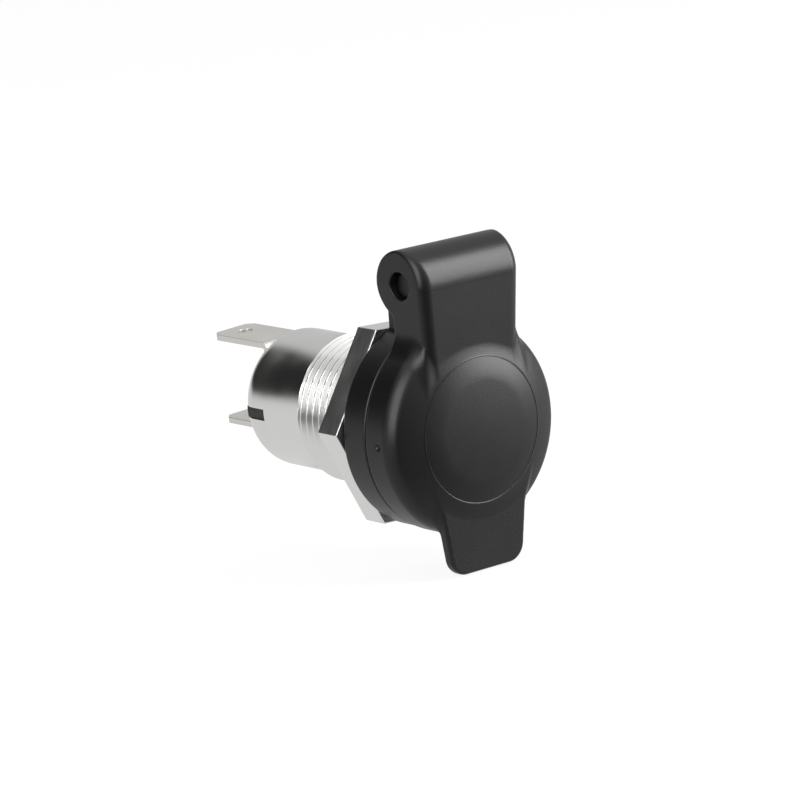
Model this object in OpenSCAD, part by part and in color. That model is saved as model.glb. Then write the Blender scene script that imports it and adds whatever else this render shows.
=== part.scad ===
// A 12 volt power socket for a car panel: a threaded metal body held by a hex nut,
// and a black bracket that carries a sprung, hinged lid over the plug bore.
// The socket's axis is Y, and Z is up. Y = 0 is the panel plane, where the back of the
// bracket's ring meets the front of the nut. The lid is at the front, towards -Y.

/* [Body] */
// Outer diameter of the fine thread
thread_d = 19; // [18:0.1:20]
// Length of the thread behind the panel plane
thread_len = 13.2; // [8:0.1:16]
// Pitch of that thread
thread_pitch = 1.2; // [1:0.1:1.5]
// Difference in diameter between the thread and the plain barrel behind it
barrel_step = 1.4; // [1.1:0.1:2.2]
// Length of the body behind the panel plane
body_len = 26.1; // [25:0.1:30]
// Radius of the barrel's rounded rear edge
rear_round = 3; // [1:0.1:3]
// Thickness of the body's rear wall
rear_wall = 1.4; // [1:0.1:2]
// Diameter of the bore that guides the plug
bore_d = 12.1; // [12:0.05:12.4]
// Length of the plain guiding bore behind the panel plane
bore_len = 9.3; // [6:0.1:9.6]
// Diameter of the wider chamber behind it, round the centre contact
chamber_d = 12.8; // [12.6:0.1:13.4]
// Width of the flange that clamps the bracket, outside the thread
flange_w = 1.8; // [1:0.1:2]
// Thickness of that flange
flange_t = 1.2; // [0.8:0.1:1.6]
// Outer diameter of the lip round the plug bore's mouth
lip_d = 14.8; // [14:0.1:16]
// Height of that lip over the flange
lip_h = 1; // [0.5:0.1:1.2]
// Height of each side slot that keys the insulator
slot_h = 1.5; // [1:0.1:2]
// Length of the side slots in front of the rear wall
slot_len = 3.7; // [2.7:0.1:4.2]
// Angle at which the body and its terminals sit turned in the bracket
body_turn = 3; // [-5:0.5:5]

/* [Nut] */
// Thickness of the nut's wall at its flats
nut_wall = 2.6; // [2:0.1:3.5]
// Thickness of the nut
nut_t = 3.6; // [2.5:0.1:5]
// Angle at which the tightened nut came to rest
nut_turn = 2.5; // [-30:0.5:30]

/* [Bracket] */
// Width of the bracket's ring that bears on the panel, outside the thread
ring_w = 3.85; // [3.85:0.05:4.5]
// Depth of the ring in front of the panel plane
ring_t = 4.4; // [4.2:0.1:5]
// Thickness of the plate that the flange clamps
plate_t = 2; // [1.5:0.1:2.2]
// Outer diameter of the knuckle
knuckle_d = 6.2; // [5.6:0.1:6.4]
// Thickness of the post, front to back
post_t = 3.8; // [3:0.1:4]

/* [Hinge] */
// Distance of the hinge pin outside the bracket's ring
pin_rise = 5.3; // [5:0.05:6]
// Distance of the hinge pin in front of the panel plane
pin_out = 6.65; // [6.2:0.05:6.8]
// Diameter of the hinge pin
pin_d = 3.2; // [2.5:0.1:3.4]
// Depth by which the pin's ends lie below the lid's cheeks
pin_recess = 1; // [0.5:0.1:1.5]
// Wire diameter of the closing spring
wire_d = 0.6; // [0.5:0.05:0.65]
// Mean diameter of the spring's coil
coil_d = 4.75; // [4.5:0.05:4.9]
// Number of whole turns in the coil
coil_turns = 4; // [3:1:4]
// Length of the spring's fixed leg, which stands in the post
fixed_leg = 5.6; // [4.8:0.1:6]
// Length of the spring's free leg, which pushes on the lid's hood
free_leg = 3.1; // [2.6:0.1:3.1]

/* [Lid] */
// Distance by which the cap's side lies inside the bracket's ring
lid_inset = 0.1; // [0:0.05:0.4]
// Depth of the cap from its rim to its flat front
lid_depth = 6.55; // [6.2:0.05:7]
// Gap between the closed lid and the bracket's ring
lid_gap = 0.2; // [0.15:0.05:0.4]
// Distance of the front's flat disc from the cap's side
disc_inset = 4.25; // [3.5:0.05:5]
// Height of that disc's slight dome
disc_crown = 0.5; // [0.1:0.1:1]
// Slope of the front outside that disc, in degrees
face_slope = 27; // [20:1:32]
// Radius of the shoulder between the front and the side wall
shoulder_r = 1.6; // [1:0.1:2]
// Thickness of the cap's side wall
cap_wall = 1.5; // [1.2:0.1:1.8]
// Thickness of the cap's front
cap_front = 1.8; // [1.4:0.1:2.2]
// Outer diameter of the lid's hinge barrel
hood_d = 8.7; // [8.5:0.1:9.2]
// Thickness of the hood over the knuckle
hood_wall = 1; // [0.8:0.05:1.1]
// Width of the hinge barrel at the pin
hinge_w = 15.7; // [15:0.1:17]
// Thickness of each of the lid's two cheeks beside the bracket's knuckle
cheek_t = 2.65; // [2.2:0.05:3.2]
// Radius of the rounding round the two ends of the hinge barrel
barrel_edge_r = 0.6; // [0.3:0.1:1.2]
// Draft of the arm's two sides, in degrees
arm_draft = 4; // [0:0.5:5]
// Angle by which the arm's front leans back towards the cap, in degrees
arm_lean = 2.5; // [0:0.5:3]
// Radius of the arm's two front edges
arm_edge_r = 1.6; // [0.8:0.05:2]
// Thickness of the arm's front wall
arm_wall = 1.8; // [1.4:0.1:2]
// Radius of the fillets where the arm meets the cap
neck_r = 1.8; // [1:0.1:2.4]
// Radius of the fillets where the tab meets the cap
tab_neck_r = 1; // [0.6:0.1:2]
// Width of the finger tab where it leaves the cap
tab_w = 12.5; // [11:0.1:14]
// Draft of the tab's two sides, in degrees
tab_draft = 8.5; // [5:0.5:12]
// Distance of the tab's lower edge outside the cap's side
tab_reach = 4.25; // [3.5:0.05:6]
// Thickness of the tab
tab_t = 1.5; // [1.2:0.1:2.4]
// Distance by which the tab's front lies behind the disc
tab_back = 0.7; // [0.5:0.05:1.8]
// Radius of the tab's front edges
tab_edge_r = 0.4; // [0.2:0.1:0.6]
// Radius of the tab's lower corners
tab_corner_r = 2; // [1:0.1:3]

/* [Lid seal] */
// Outer diameter of the rubber seal
seal_od = 17.6; // [17:0.1:18.4]
// Inner diameter of the rubber seal
seal_id = 11.2; // [10:0.1:12]
// Thickness of the rubber seal
seal_t = 1.6; // [1:0.1:2]

/* [Contacts] */
// Length of the insulator in front of the rear wall
insulator_len = 6.2; // [5:0.1:7]
// Outer diameter of the slotted centre contact
contact_d = 5.8; // [5:0.1:6.4]
// Length of the centre contact in front of the insulator
contact_len = 8.5; // [6:0.1:10]
// Sheet thickness of the centre contact
contact_t = 0.6; // [0.4:0.05:0.8]
// Width of each blade terminal
blade_w = 6.3; // [4.8:0.1:6.3]
// Thickness of each blade terminal
blade_t = 0.8; // [0.5:0.1:0.9]
// Height of the earthed blade's middle over the socket's axis
earth_z = 7.05; // [6.5:0.05:7.5]
// Distance of the earthed blade's tip behind the body
earth_reach = 11.5; // [8:0.1:14]
// Distance of the live blade's middle under the socket's axis
live_z = 4; // [3.5:0.05:4.5]
// Distance of the live blade's tip behind the body
live_reach = 11.2; // [8:0.1:14]
// Diameter of the small hole in each blade
blade_hole_d = 1.8; // [1.4:0.1:2.2]
// Distance of that hole from the blade's tip
blade_hole_back = 3.1; // [2.8:0.1:4]
// Thickness of the fibre plate under the live terminal
fibre_t = 0.6; // [0.4:0.1:1]
// Diameter of the centre rivet's shank
rivet_d = 2.4; // [2:0.1:2.6]
// Diameter of the earth rivet's shank
earth_rivet_d = 1.8; // [1.4:0.1:2]

/* [Hidden] */
$fn = 96;

// Clearances
// between the thread and the hole in the bracket's plate
plate_fit = 0.1;
// between the flange and the ring round it
flange_fit = 0.2;
// on each side of the knuckle
knuckle_side = 0.2;
// between the knuckle and the lid's hood
hood_gap = 0.25;
// round the hinge pin in the lid's cheeks
pin_fit = 0.08;
// round the spring's wire in its hole
wire_fit = 0.05;
// between the seal and the rim that holds it
seal_fit = 0.05;
// between the closed seal and the lip
seal_gap = 0.1;
// between the earthed and the live side at the back
live_gap = 0.35;
// overlap that joins two stretches of one piece
join = 0.5;
// length that clears a cut of its piece
past = 1;

// Places along the axis
mouth_y = -plate_t - flange_t - lip_h;
runout = 0.7;
floor_y = body_len - rear_wall;
slot_y = floor_y - slot_len;
insulator_y = floor_y - insulator_len;
earth_tip = body_len + earth_reach;
live_tip = body_len + live_reach;
rim_y = -ring_t - lid_gap;
front_y = rim_y - lid_depth;
seal_y = mouth_y - seal_gap;
hinge_y = -pin_out;
arm_front_y = hinge_y - hood_d / 2;
post_back_y = -ring_t + post_t;

// Radii
thread_r = thread_d / 2;
barrel_r = thread_r - barrel_step / 2;
bore_r = bore_d / 2;
chamber_r = chamber_d / 2;
flange_r = thread_r + flange_w;
ring_r = thread_r + ring_w;
lid_r = ring_r - lid_inset;
cavity_r = lid_r - cap_wall;
disc_r = lid_r - disc_inset;
hood_r = hood_d / 2;
pocket_r = hood_r - hood_wall;
knuckle_r = min(knuckle_d / 2, pocket_r - hood_gap);
coil_r = coil_d / 2;
wire_r = wire_d / 2;
spigot_r = 2.95;

// Places above and below the axis, and along the hinge
pin_z = ring_r + pin_rise;
tab_z = lid_r + tab_reach;
knuckle_w = hinge_w - 2 * (cheek_t + knuckle_side);

// Turned and moulded profiles are drawn with radius as x and distance behind the
// panel plane as y, and this revolves them about the socket's axis
module about_axis() {
    rotate([-90, 0, 0]) rotate_extrude() children();
}

// A rectangle in such a profile
module band(r0, r1, y0, y1) {
    translate([r0, y0]) square([r1 - r0, y1 - y0]);
}

// Extrudes a side view, drawn in Y and Z, over x0 to x1
module across(x0, x1) {
    translate([x0, 0, 0]) rotate([90, 0, 90]) linear_extrude(x1 - x0) children();
}

// A cylinder along the hinge pin, from x0 to x1
module on_pin(r, x0, x1) {
    translate([x0, hinge_y, pin_z]) rotate([0, 90, 0]) cylinder(r = r, h = x1 - x0);
}

// A cylinder along the socket's axis at height z, from y0 to y1
module along(r, y0, y1, z = 0) {
    translate([0, y0, z]) rotate([-90, 0, 0]) cylinder(r = r, h = y1 - y0);
}

// The body and all that is fixed in it sit turned in the bracket
module turned_in() {
    rotate([0, -body_turn, 0]) children();
}

// Nickel-plated body: flange and mouth lip, thread, barrel and rear wall in one
module shell() {
    color("silver") turned_in() difference() {
        about_axis() difference() {
            union() {
                band(0, lip_d / 2, mouth_y, -plate_t);
                band(0, flange_r, -plate_t - flange_t, -plate_t);
                band(0, thread_r, -plate_t - join, thread_len);
                polygon([
                    [0, thread_len], [thread_r, thread_len],
                    [barrel_r, thread_len + runout], [0, thread_len + runout]
                ]);
                band(0, barrel_r, thread_len + runout, body_len - rear_round);
                band(0, barrel_r - rear_round, thread_len + runout, body_len);
                translate([barrel_r - rear_round, body_len - rear_round])
                    circle(r = rear_round);
            }
            band(0, bore_r, mouth_y - past, bore_len + join);
            band(0, chamber_r, bore_len, floor_y);
            band(0, spigot_r, mouth_y - past, body_len + past);
            polygon([
                [bore_r - past, mouth_y - past], [bore_r + 0.4 + past, mouth_y - past],
                [bore_r - past, mouth_y + 0.4 + past]
            ]);
            thread_grooves();
        }
        keyways(slot_h, barrel_r + past);
        along(earth_rivet_d / 2, floor_y - past, body_len + past, earth_rivet_z);
    }
}

// The thread behind the nut, as level grooves of its pitch and depth
thread_depth = 0.6;
module thread_grooves() {
    flank = tan(30);
    half = 0.08;
    for (y = [thread_len - thread_pitch / 2 : -thread_pitch : nut_t + thread_pitch / 2])
        polygon([
            [thread_r - thread_depth, y - half], [thread_r - thread_depth, y + half],
            [thread_r + past, y + half + (thread_depth + past) * flank],
            [thread_r + past, y - half - (thread_depth + past) * flank]
        ]);
}

// The two side slots, and the lugs that fill them
module keyways(h, reach) {
    translate([-reach, slot_y, -h / 2]) cube([2 * reach, floor_y - slot_y, h]);
}

// Hex nut, tightened against the bracket's ring
module hex_nut() {
    color("gainsboro") rotate([0, nut_turn, 0]) difference() {
        rotate([-90, 0, 0])
            cylinder(r = (thread_r + nut_wall) / cos(30), h = nut_t, $fn = 6);
        about_axis() union() {
            band(0, thread_r, -past, nut_t + past);
            polygon([[0, -past], [thread_r + past + 0.3, -past], [0, thread_r + 0.3]]);
            polygon([
                [0, nut_t + past], [thread_r + past + 0.3, nut_t + past],
                [0, nut_t - thread_r - 0.3]
            ]);
        }
    }
}

// Black moulded bracket: the ring under the flange, the post and the knuckle
module bracket() {
    color("dimgray") difference() {
        union() {
            about_axis() difference() {
                union() {
                    band(0, ring_r, -ring_t + 0.3, 0);
                    band(0, ring_r - 0.3, -ring_t, 0);
                }
                band(0, thread_r + plate_fit, -ring_t - past, past);
                band(0, flange_r + flange_fit, -ring_t - past, -plate_t);
            }
            across(-knuckle_w / 2, spring_x0) post_side();
            across(-knuckle_w / 2, knuckle_w / 2) intersection() {
                post_side();
                translate([-pin_z, 0]) square([2 * pin_z, pin_z - coil_r - wire_r - hood_gap]);
            }
            on_pin(knuckle_r, -knuckle_w / 2, spring_x0);
        }
        on_pin(pin_d / 2, -knuckle_w, knuckle_w);
        translate(leg_foot) rotate([coil_start, 0, 0]) translate([0, 0, -wire_fit])
            cylinder(r = wire_r + wire_fit, h = fixed_leg);
    }
}

// Side view of the post: it stands on the ring and leans forward to the knuckle
module post_side() {
    polygon([
        [-ring_t, flange_r + flange_fit + 0.4], [post_back_y, flange_r + flange_fit + 0.4],
        [post_back_y, pin_z - hood_r + 0.8],
        [hinge_y + knuckle_r * cos(40), pin_z - knuckle_r * sin(40)],
        [hinge_y, pin_z], [hinge_y - knuckle_r * cos(70), pin_z - knuckle_r * sin(70)],
        [-ring_t, pin_z - knuckle_r - 0.4]
    ]);
}

// Steel pin, pressed into the knuckle, on which the lid's cheeks turn
module hinge_pin() {
    half = hinge_w / 2 - pin_recess;
    color("gray") translate([-half, hinge_y, pin_z]) rotate([0, 90, 0]) rotate_extrude()
        polygon([
            [0, 0], [pin_d / 2 - 0.2, 0], [pin_d / 2, 0.2],
            [pin_d / 2, 2 * half - 0.2], [pin_d / 2 - 0.2, 2 * half], [0, 2 * half]
        ]);
}

// Spring: its place on the pin, its two legs and its winding
spring_x0 = knuckle_w / 2 - (coil_turns + 0.1) * (wire_d + 0.05) - wire_d - 0.1;
coil_x0 = spring_x0 + wire_r + 0.1;
coil_pitch = wire_d + 0.05;
coil_start = 12;
free_angle = 15;
coil_end = 360 * coil_turns + free_angle;
coil_steps = 24 * coil_turns;

function coil_point(a) = [
    coil_x0 + coil_pitch * (a - coil_start) / 360,
    hinge_y + coil_r * cos(a),
    pin_z + coil_r * sin(a)
];
function coil_heading(a) = [0, -sin(a), cos(a)];
leg_foot = coil_point(coil_start) - fixed_leg * coil_heading(coil_start);
function spring_path() = concat(
    [leg_foot],
    [for (i = [0 : coil_steps]) coil_point(coil_start + (coil_end - coil_start) * i / coil_steps)],
    [coil_point(coil_end) + free_leg * coil_heading(coil_end)]
);
function unit(v) = v / norm(v);
function heading(p, i) = unit(p[min(i + 1, len(p) - 1)] - p[max(i - 1, 0)]);
function ring_at(p, i, r, sides) =
    let (t = heading(p, i), s = unit([1, 0, 0] - t[0] * t), u = cross(t, s))
    [for (k = [0 : sides - 1]) p[i] + r * (cos(360 * k / sides) * s + sin(360 * k / sides) * u)];

// Torsion spring of round wire: one leg stands in the post, the other pushes the hood
module torsion_spring() {
    path = spring_path();
    sides = 8;
    rings = len(path);
    color("lightsteelblue") polyhedron(
        points = [for (i = [0 : rings - 1]) each ring_at(path, i, wire_r, sides)],
        faces = concat(
            [[for (k = [0 : sides - 1]) k]],
            [for (i = [0 : rings - 2], k = [0 : sides - 1]) [
                i * sides + k, (i + 1) * sides + k,
                (i + 1) * sides + (k + 1) % sides, i * sides + (k + 1) % sides
            ]],
            [[for (k = [sides - 1 : -1 : 0]) (rings - 1) * sides + k]]
        )
    );
}

// Centre of the lid's shoulder arc, which touches the side wall and the sloped front
shoulder_y = front_y
    + (shoulder_r + (lid_r - shoulder_r - disc_r) * sin(face_slope)) / cos(face_slope);
shoulder_steps = 10;

// Points of an arc round c, from angle a0 to a1
function arc(c, r, a0, a1, steps) = [
    for (i = [0 : steps])
        let (a = a0 + (a1 - a0) * i / steps) c + r * [cos(a), sin(a)]
];

// Outer profile of the cap: domed disc, slope, round shoulder and straight side wall
module cap_outside() {
    dome_r = (pow(disc_r, 2) + pow(disc_crown, 2)) / 2 / disc_crown;
    dome_edge = asin(disc_r / dome_r);
    polygon(concat(
        [[0, rim_y]],
        arc([0, front_y - disc_crown + dome_r], dome_r, -90, dome_edge - 90, 4),
        arc([lid_r - shoulder_r, shoulder_y], shoulder_r, face_slope - 90, 0, shoulder_steps),
        [[lid_r, rim_y]]
    ));
}

// Hollow of the cap: flat in the middle, then sloped like the front over it
module cap_inside() {
    flat_r = disc_r - cap_wall * sin(face_slope)
        + (cap_front - cap_wall * cos(face_slope)) / tan(face_slope);
    polygon([
        [0, front_y + cap_front], [flat_r, front_y + cap_front],
        [cavity_r, front_y + cap_front + (cavity_r - flat_r) * tan(face_slope)],
        [cavity_r, rim_y + past], [0, rim_y + past]
    ]);
}

// Ring inside the cap with a rim that holds the seal
module seal_holder() {
    band(seal_id / 2 - 0.6, seal_od / 2 + 1, front_y + cap_front - join, seal_y - seal_t);
    band(seal_od / 2 + seal_fit, seal_od / 2 + 1, seal_y - seal_t - join, seal_y - 0.7);
}

// One side of a drafted bar that hangs along Z: a front corner rounded to radius r,
// with the side at x = -half_w where z = z0. The front touches a circle of radius
// front_r round the point at (y0, z0), and leans back below it
module drafted_side(half_w, y0, z0, front_r, r, draft, lean) {
    reach = 60;
    translate([-half_w, y0, z0]) rotate([lean, -draft, 0])
        translate([0, -front_r, -reach / 2]) linear_extrude(reach) {
            translate([r, 0]) square([reach, reach]);
            translate([0, r]) square([reach, reach]);
            translate([r, r]) circle(r = r);
        }
}

// What lies in both the left side and its mirror image
module for_both_sides() {
    intersection() {
        children();
        mirror([1, 0, 0]) children();
    }
}

// Hinge barrel of the lid, with rounded ends
module hood_barrel() {
    half = hinge_w / 2;
    r = barrel_edge_r;
    translate([0, hinge_y, pin_z]) rotate([0, 90, 0]) rotate_extrude() polygon(concat(
        [[0, half], [0, -half]],
        arc([hood_r - r, -half + r], r, -90, 0, 6),
        arc([hood_r - r, half - r], r, 0, 90, 6)
    ));
}

// Arm and hinge barrel of the lid, before the pocket for the knuckle is cut
module arm() {
    intersection() {
        union() {
            hood_barrel();
            across(-hinge_w, hinge_w)
                translate([arm_front_y, 0]) square([rim_y - arm_front_y, pin_z]);
        }
        for_both_sides() drafted_side(
            hinge_w / 2, hinge_y, pin_z, hood_r, arm_edge_r, arm_draft, arm_lean);
        translate([-hinge_w, front_y, disc_r / 2])
            cube([2 * hinge_w, 2 * hood_d, pin_z + hood_d]);
    }
}

// Pocket in the arm for the knuckle and the post, open to the back
module arm_pocket() {
    half = knuckle_w / 2 + knuckle_side;
    on_pin(pocket_r, -half, half);
    across(-half, half) {
        translate([arm_front_y + arm_wall, lid_r + 0.1])
            square([hood_d, pin_z - lid_r - 0.1]);
        translate([hinge_y, pin_z]) polygon([
            [0, 0], 2 * hood_r * [cos(hood_end), sin(hood_end)],
            [3 * hood_r, 2 * hood_r], [3 * hood_r, -hood_r], [0, -hood_r]
        ]);
    }
}
// Angle over the horizontal at which the hood ends behind its top
hood_end = 75;

// Finger tab under the cap
module tab() {
    tab_front_y = front_y + tab_back;
    intersection() {
        for_both_sides() drafted_side(
            tab_w / 2, tab_front_y, -lid_r + join, 0, tab_edge_r, tab_draft, 0);
        translate([-tab_w, tab_front_y, -tab_z]) cube([2 * tab_w, tab_t, tab_z - disc_r / 2]);
        tab_outline();
    }
}

// Front view of the tab, with its two rounded lower corners
module tab_outline() {
    half = tab_w / 2 - (tab_z - lid_r + join) * tan(tab_draft);
    r = tab_corner_r;
    inset = r * tan(45 + tab_draft / 2);
    translate([0, past, 0]) rotate([90, 0, 0]) linear_extrude(-front_y + 2 * past) {
        translate([-half + inset, -tab_z]) square([2 * (half - inset), tab_z]);
        translate([-tab_w, -tab_z + r]) square([2 * tab_w, tab_z]);
        for (s = [-1, 1])
            translate([s * (half - r * tan(45 - tab_draft / 2)), -tab_z + r]) circle(r = r);
    }
}

// Fillet where a side at x = half_w meets the round cap over the axis, on both sides
module neck(half_w, r, y0, y1) {
    c = [half_w + r, sqrt(pow(lid_r + r, 2) - pow(half_w + r, 2))];
    foot = c * lid_r / (lid_r + r);
    for (s = [0, 1])
        mirror([s, 0, 0]) translate([0, y1, 0]) rotate([90, 0, 0])
            linear_extrude(y1 - y0) difference() {
                polygon([
                    [half_w - join, c[1]], c, foot + join * (foot - c) / r,
                    [half_w - join, foot[1] - join]
                ]);
                translate(c) circle(r = r);
            }
}

// Width of the arm where it meets the cap's side wall
arm_foot_w = hinge_w - 2 * (pin_z - lid_r + neck_r) * tan(arm_draft);

// Black moulded lid: cap, arm with the hinge hood, and finger tab in one
module lid() {
    color("dimgray") difference() {
        union() {
            about_axis() cap_outside();
            arm();
            neck(arm_foot_w / 2, neck_r, shoulder_y, rim_y);
            tab();
            mirror([0, 0, 1])
                neck(tab_w / 2, tab_neck_r, front_y + tab_back + join,
                    front_y + tab_back + tab_t);
        }
        difference() {
            about_axis() cap_inside();
            about_axis() seal_holder();
        }
        arm_pocket();
        on_pin(pin_d / 2 + pin_fit, -hinge_w, hinge_w);
    }
}

// Rubber seal ring in the lid, which closes on the lip of the body
module lid_seal() {
    color("black") about_axis()
        band(seal_id / 2, seal_od / 2, seal_y - seal_t, seal_y);
}

// Phenolic insulator in the bottom of the bore, keyed into the two side slots
module insulator() {
    color("saddlebrown") turned_in() difference() {
        union() {
            along(chamber_r, insulator_y, floor_y);
            along(spigot_r, floor_y - join, body_len);
            intersection() {
                keyways(slot_h, barrel_r);
                along(barrel_r - 0.3, slot_y, floor_y);
            }
        }
        along(rivet_d / 2, insulator_y - past, body_len + past);
        along(earth_head_r + 0.1, floor_y - earth_head_t - 0.1, floor_y + past, earth_rivet_z);
    }
}

// Slotted brass sleeve that grips the plug's centre pin
module centre_contact() {
    r = contact_d / 2;
    front = insulator_y - contact_len;
    color("goldenrod") turned_in() difference() {
        about_axis() {
            band(r - contact_t, r, front, insulator_y);
            band(rivet_d / 2, r + 0.3, insulator_y - contact_t, insulator_y);
        }
        for (a = [0, 90])
            rotate([0, a, 0]) translate([-contact_d, front - past, -0.4])
                cube([2 * contact_d, 0.65 * contact_len + past, 0.8]);
    }
}

// Rivets: shank between two heads, the rear one domed
module rivet(shank_r, head_r, head_t, y0, y1, z) {
    translate([0, 0, z]) about_axis() {
        band(0, head_r, y0 - head_t, y0);
        band(0, shank_r, y0 - head_t, y1 + head_t);
        polygon([
            [0, y1], [head_r, y1], [head_r, y1 + 0.4 * head_t],
            [0.6 * head_r, y1 + head_t], [0, y1 + head_t]
        ]);
    }
}

rivet_head_r = rivet_d / 2 + 0.6;
rivet_head_t = 0.6;
earth_head_r = earth_rivet_d / 2 + 0.4;
earth_head_t = 0.6;
earth_rivet_z = 4.4;
earth_foot_z = earth_rivet_z - earth_head_r - 0.3;
fibre_top_z = earth_foot_z - live_gap;
live_foot_z = fibre_top_z - live_gap;
live_y = body_len + fibre_t;

// Centre rivet, which joins the contact to the live terminal through the insulator
module contact_rivet() {
    color("gold") turned_in()
        rivet(rivet_d / 2, rivet_head_r, rivet_head_t, insulator_y - contact_t,
            live_y + blade_t, 0);
}

// Small rivet that holds the earthed terminal to the rear wall
module earth_rivet() {
    color("gold") turned_in()
        rivet(earth_rivet_d / 2, earth_head_r, earth_head_t, floor_y, body_len + blade_t,
            earth_rivet_z);
}

// Fibre plate that keeps the live terminal off the rear wall
module fibre_plate() {
    color("firebrick") turned_in() difference() {
        intersection() {
            along(barrel_r - rear_round, body_len, live_y);
            translate([-barrel_r, body_len - past, fibre_top_z - 2 * barrel_r])
                cube([2 * barrel_r, fibre_t + 2 * past, 2 * barrel_r]);
        }
        along(rivet_d / 2, body_len - past, live_y + past);
    }
}

// A stamped L terminal: its foot stands from z = foot to the blade at z = middle,
// its back at y0, and its blade reaches back to the tip
module terminal(y0, tip, middle, foot, hole_z, hole_r) {
    side = middle > foot ? 1 : -1;
    outer = middle + side * blade_t / 2;
    bend = blade_t + 0.2;
    difference() {
        intersection() {
            across(-blade_w / 2, blade_w / 2) {
                translate([y0, min(foot, outer - side * bend)])
                    square([blade_t, abs(outer - side * bend - foot)]);
                translate([y0 + bend, middle - blade_t / 2])
                    square([tip - y0 - bend, blade_t]);
                translate([y0 + bend, outer - side * bend]) difference() {
                    circle(r = bend);
                    circle(r = bend - blade_t);
                    translate([0, -bend]) square(2 * bend);
                    translate([-bend, side > 0 ? -2 * bend : 0]) square(2 * bend);
                }
            }
            blade_plan(y0, tip);
        }
        along(hole_r, y0 - past, y0 + blade_t + past, hole_z);
        translate([0, tip - blade_hole_back, middle - blade_t]) {
            cylinder(d = blade_hole_d, h = 2 * blade_t);
        }
    }
}

// Plan view of a terminal, with the corners of its tip cut off
module blade_plan(y0, tip) {
    translate([0, 0, -barrel_r]) linear_extrude(2 * barrel_r) polygon([
        [-blade_w / 2, y0 - past], [blade_w / 2, y0 - past], [blade_w / 2, tip - 1],
        [blade_w / 2 - 0.8, tip], [-blade_w / 2 + 0.8, tip], [-blade_w / 2, tip - 1]
    ]);
}

// Live terminal, under the centre rivet's rear head
module live_terminal() {
    color("lightgray") turned_in()
        terminal(live_y, live_tip, -live_z, live_foot_z, 0, rivet_d / 2);
}

// Earthed terminal, flat on the body's rear wall
module earth_terminal() {
    color("lightgray") turned_in()
        terminal(body_len, earth_tip, earth_z, earth_foot_z, earth_rivet_z,
            earth_rivet_d / 2);
}

shell();
hex_nut();
bracket();
hinge_pin();
torsion_spring();
lid();
lid_seal();
insulator();
centre_contact();
contact_rivet();
fibre_plate();
live_terminal();
earth_terminal();
earth_rivet();
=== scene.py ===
"""Looks of a 12 volt power socket for a car panel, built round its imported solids.
The socket's axis is Y, with the lid at the front towards -Y, and Z is up. Shapes are
worked out in millimetres and turned into metres as they become meshes."""
import math

import bmesh
import bpy
import numpy as np
from mathutils import Matrix, Vector


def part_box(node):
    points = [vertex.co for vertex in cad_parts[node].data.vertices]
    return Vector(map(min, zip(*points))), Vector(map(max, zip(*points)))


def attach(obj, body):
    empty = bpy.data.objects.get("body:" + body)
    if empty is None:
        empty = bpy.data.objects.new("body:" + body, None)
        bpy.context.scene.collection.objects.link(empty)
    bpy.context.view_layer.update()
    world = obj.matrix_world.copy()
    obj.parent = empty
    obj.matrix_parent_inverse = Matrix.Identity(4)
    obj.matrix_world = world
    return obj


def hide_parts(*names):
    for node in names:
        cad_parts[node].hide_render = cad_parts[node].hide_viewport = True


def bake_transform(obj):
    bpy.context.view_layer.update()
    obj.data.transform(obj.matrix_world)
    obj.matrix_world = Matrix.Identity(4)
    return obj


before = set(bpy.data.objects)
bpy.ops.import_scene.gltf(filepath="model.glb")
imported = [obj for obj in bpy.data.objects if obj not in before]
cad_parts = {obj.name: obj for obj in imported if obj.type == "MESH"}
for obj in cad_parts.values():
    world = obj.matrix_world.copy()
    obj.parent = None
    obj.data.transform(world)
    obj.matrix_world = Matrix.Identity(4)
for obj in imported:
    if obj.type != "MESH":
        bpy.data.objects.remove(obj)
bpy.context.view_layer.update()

# The camera stands where the photograph was taken from: a long lens, to the left of the lid
# and a little above it, rolled by a few degrees. Its distance and the place of the socket's
# origin in the picture come from the nut's corners, the lid's circles and the hinge hole.
MM = 0.001
PICTURE = 800
FOCAL_PIXELS = 4000
SENSOR = 36
CAMERA_AZIMUTH, CAMERA_ELEVATION, CAMERA_ROLL = np.radians([-38.99, 12.44, -4.39])
CAMERA_DISTANCE = 492.6
ORIGIN_PIXEL = (424.2, 418.55)


def camera_axes(azimuth, elevation, roll):
    """Right, up and backward directions of a camera that looks at the origin from that side."""
    back = np.array([
        math.sin(azimuth) * math.cos(elevation),
        -math.cos(azimuth) * math.cos(elevation),
        math.sin(elevation),
    ])
    right = np.array([math.cos(azimuth), math.sin(azimuth), 0])
    up = np.cross(back, right)
    return (
        right * math.cos(roll) + up * math.sin(roll),
        up * math.cos(roll) - right * math.sin(roll),
        back,
    )


cam_right, cam_up, cam_back = camera_axes(CAMERA_AZIMUTH, CAMERA_ELEVATION, CAMERA_ROLL)
pixel_size = CAMERA_DISTANCE / FOCAL_PIXELS
aside = (ORIGIN_PIXEL[0] - PICTURE / 2) * pixel_size
above = (PICTURE / 2 - ORIGIN_PIXEL[1]) * pixel_size
eye = cam_back * CAMERA_DISTANCE - cam_right * aside - cam_up * above

camera = bpy.data.objects.new("camera", bpy.data.cameras.new("camera"))
camera.data.sensor_width = SENSOR
camera.data.lens = FOCAL_PIXELS / PICTURE * SENSOR
camera.data.clip_start, camera.data.clip_end = 0.01, 10
camera.matrix_world = Matrix([
    (*row, place * MM) for row, place in zip(zip(cam_right, cam_up, cam_back), eye)
] + [(0, 0, 0, 1)])
bpy.context.scene.collection.objects.link(camera)
bpy.context.scene.camera = camera


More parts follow.
